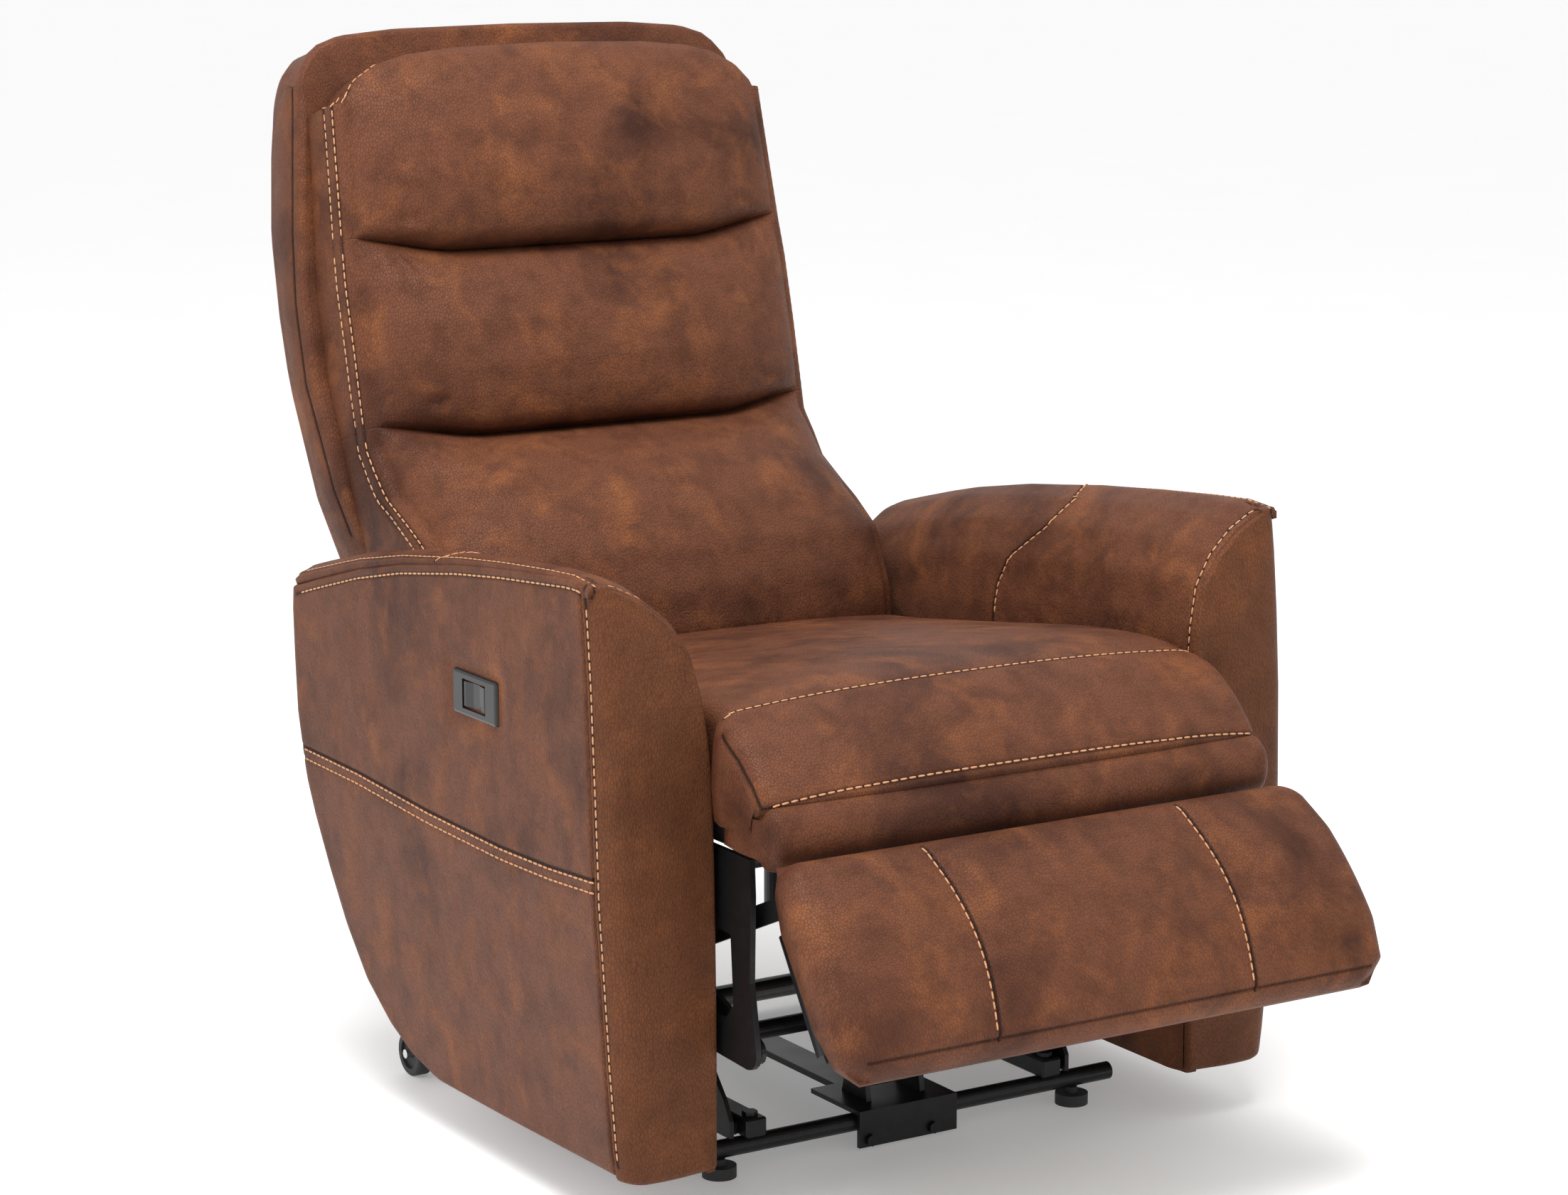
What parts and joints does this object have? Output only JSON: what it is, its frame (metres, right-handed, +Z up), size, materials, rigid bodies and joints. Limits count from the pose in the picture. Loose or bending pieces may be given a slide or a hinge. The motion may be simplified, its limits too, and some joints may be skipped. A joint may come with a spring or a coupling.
{
  "type": "lift recliner chair",
  "caption": "Powered lift recliner armchair: leather seat, arms and channelled back on a steel base whose links raise and tip the seat; back reclines and footrest swings out.",
  "frame": {"origin": "centre of the chair's outline on the floor, at rest in the pictured pose", "axes": "+Z up; the chair faces -Y, and the arm with the switch is at -X"},
  "size_m": [0.82, 1.273, 1.1011],
  "materials": {
    "leather": "aged, semi-matte",
    "leather_shade": "aged, semi-matte",
    "black_steel": "satin black",
    "bright_steel": "bright zinc",
    "rubber": "matte",
    "motor_black": "satin",
    "board": "raw",
    "grey_plastic": "matte",
    "switch_black": "gloss"
  },
  "bodies": {
    "base": {"base_front_tube": "black_steel", "base_rear_tube": "black_steel", "wheel_axle": "bright_steel", "base_centre_bar": "black_steel", "base_rail_left": "black_steel", "base_rail_right": "black_steel", "front_foot_left": "rubber", "front_foot_right": "rubber", "pivot_stand_left": "black_steel", "pivot_stand_right": "black_steel", "lift_motor_bracket": "black_steel"},
    "wheel_left": {"rear_wheel_left": "rubber"},
    "wheel_right": {"rear_wheel_right": "rubber"},
    "lift_lower_links": {"lift_lower_link_left": "black_steel", "lift_lower_link_right": "black_steel", "lift_torque_tube": "black_steel"},
    "lift_upper_left": {"lift_upper_link_left": "black_steel"},
    "lift_upper_right": {"lift_upper_link_right": "black_steel"},
    "seat": {"seat_side_plate_left": "black_steel", "seat_side_plate_right": "black_steel", "lift_cross_tube": "black_steel", "recline_cross_tube": "black_steel", "seat_front_rail": "board", "seat_deck": "board", "control_box": "grey_plastic", "seat_cushion": "leather", "seat_apron": "leather_shade", "arm_frame_left": "leather_shade", "arm_side_panel_left": "leather", "arm_front_panel_left": "leather", "arm_pad_left": "leather", "arm_frame_right": "leather_shade", "arm_side_panel_right": "leather", "arm_front_panel_right": "leather", "arm_pad_right": "leather", "switch_bezel": "switch_black"},
    "switch": {"switch_rocker": "switch_black"},
    "lift_actuator": {"lift_motor": "motor_black"},
    "lift_push_rod": {"lift_rod": "bright_steel"},
    "back": {"back_shell": "leather", "back_frame": "board", "back_head_cushion": "leather", "back_middle_cushion": "leather", "back_lumbar_cushion": "leather", "back_bracket_left": "black_steel", "back_bracket_right": "black_steel", "back_cross_bar": "black_steel"},
    "recline_actuator": {"recline_motor": "motor_black"},
    "recline_push_rod": {"recline_rod": "bright_steel"},
    "footrest_rear_links": {"footrest_rear_link_left": "black_steel", "footrest_rear_link_right": "black_steel", "footrest_torque_tube": "black_steel"},
    "footrest_front_links": {"footrest_front_link_left": "black_steel", "footrest_front_link_right": "black_steel"},
    "footrest": {"footrest_cushion": "leather", "footrest_board": "board", "footrest_bracket_left": "black_steel", "footrest_bracket_right": "black_steel", "footrest_stay_left": "black_steel", "footrest_stay_right": "black_steel"}
  },
  "joints": [
    {"name": "lift", "type": "hinge", "parent": "base", "child": "lift_lower_links", "pos_m": [0, -0.2281, 0.064], "axis": [1, 0, 0], "range_deg": [0, 58]},
    {"name": "seat_tilt", "type": "hinge", "parent": "lift_lower_links", "child": "seat", "pos_m": [0, 0.0301, 0.1429], "axis": [1, 0, 0], "range_deg": [-36.1, 0]},
    {"name": "lift_upper_left_swing", "type": "hinge", "parent": "base", "child": "lift_upper_left", "pos_m": [0, -0.1981, 0.09], "axis": [1, 0, 0], "range_deg": [0, 53.3]},
    {"name": "lift_upper_right_swing", "type": "hinge", "parent": "base", "child": "lift_upper_right", "pos_m": [0, -0.1981, 0.09], "axis": [1, 0, 0], "range_deg": [0, 53.3]},
    {"name": "lift_actuator_swing", "type": "hinge", "parent": "base", "child": "lift_actuator", "pos_m": [0, -0.2281, 0.064], "axis": [1, 0, 0], "range_deg": [0, 40.1]},
    {"name": "lift_rod_swing", "type": "hinge", "parent": "seat", "child": "lift_push_rod", "pos_m": [0, -0.1883, 0.3016], "axis": [1, 0, 0], "range_deg": [0, 18.1]},
    {"name": "recline", "type": "hinge", "parent": "seat", "child": "back", "pos_m": [0, 0.1819, 0.37], "axis": [-1, 0, 0], "range_deg": [-4, 38]},
    {"name": "recline_actuator_swing", "type": "hinge", "parent": "seat", "child": "recline_actuator", "pos_m": [0, -0.0731, 0.307], "axis": [-1, 0, 0], "range_deg": [-1, 5.5]},
    {"name": "recline_rod_swing", "type": "hinge", "parent": "back", "child": "recline_push_rod", "pos_m": [0, 0.2399, 0.316], "axis": [-1, 0, 0], "range_deg": [-33, 3.6]},
    {"name": "footrest", "type": "hinge", "parent": "seat", "child": "footrest_rear_links", "pos_m": [0, -0.4135, 0.1803], "axis": [1, 0, 0], "range_deg": [-39, 51]},
    {"name": "footrest_knee", "type": "hinge", "parent": "footrest_rear_links", "child": "footrest_front_links", "pos_m": [0, -0.2444, 0.2407], "axis": [1, 0, 0], "range_deg": [-23.3, 17.8]},
    {"name": "footrest_pad_swing", "type": "hinge", "parent": "footrest_front_links", "child": "footrest", "pos_m": [0, -0.48149, 0.3443], "axis": [1, 0, 0], "range_deg": [-77.6, 59.3]},
    {"name": "wheel_left_spin", "type": "hinge", "parent": "base", "child": "wheel_left", "pos_m": [0, 0.1979, 0.025], "axis": [1, 0, 0], "continuous": true},
    {"name": "wheel_right_spin", "type": "hinge", "parent": "base", "child": "wheel_right", "pos_m": [0, 0.1979, 0.025], "axis": [1, 0, 0], "continuous": true},
    {"name": "switch_rock", "type": "hinge", "parent": "seat", "child": "switch", "pos_m": [-0.4045, -0.1111, 0.486], "axis": [0, 0, 1], "range_deg": [-8, 8], "stiffness_Nm_per_rad": 0.5}
  ],
  "couplings": [
    {"joint": "seat_tilt", "follows": "lift", "ratio": -0.62069},
    {"joint": "lift_upper_left_swing", "follows": "lift", "ratio": 0.9175},
    {"joint": "lift_upper_right_swing", "follows": "lift", "ratio": 0.9175},
    {"joint": "lift_actuator_swing", "follows": "lift", "ratio": 0.6895},
    {"joint": "lift_rod_swing", "follows": "lift", "ratio": 0.31019},
    {"joint": "recline_actuator_swing", "follows": "recline", "ratio": 0.14},
    {"joint": "recline_rod_swing", "follows": "recline", "ratio": -0.86},
    {"joint": "footrest_knee", "follows": "footrest", "ratio": -0.45444},
    {"joint": "footrest_pad_swing", "follows": "footrest", "ratio": -1.518}
  ]
}
